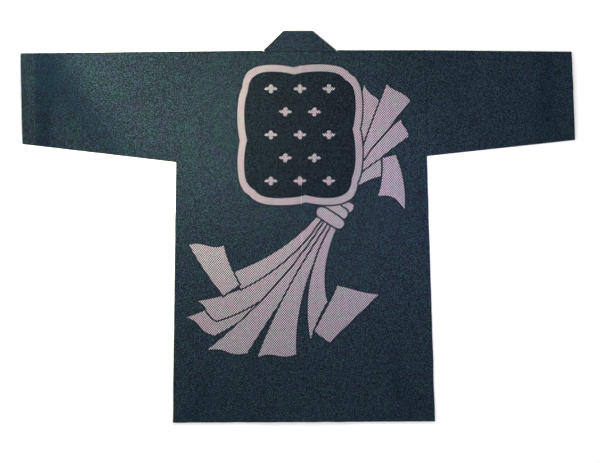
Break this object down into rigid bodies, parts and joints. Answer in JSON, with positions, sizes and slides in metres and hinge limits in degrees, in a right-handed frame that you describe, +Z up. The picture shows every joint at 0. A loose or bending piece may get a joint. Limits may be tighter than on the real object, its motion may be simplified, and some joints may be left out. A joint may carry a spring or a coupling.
{
  "type": "happi coat laid flat",
  "caption": "Straight-cut open-fronted festival coat of indigo cotton with wide sleeves and a doubled collar band, lying flat face down.",
  "frame": {"origin": "on the surface that the coat lies on, under the middle of its outline", "axes": "+X to the right across the back, from cuff to cuff; +Y up the back towards the collar; +Z up, away from the surface"},
  "size_m": [1.3, 0.919, 0.0072],
  "materials": {
    "indigo_cotton": "dyed plain-weave cotton, matt, with a pale print on the back"
  },
  "bodies": {
    "root": {"body_left": "indigo_cotton", "body_right": "indigo_cotton", "sleeve_left": "indigo_cotton", "sleeve_right": "indigo_cotton", "collar_band": "indigo_cotton"}
  },
  "joints": []
}
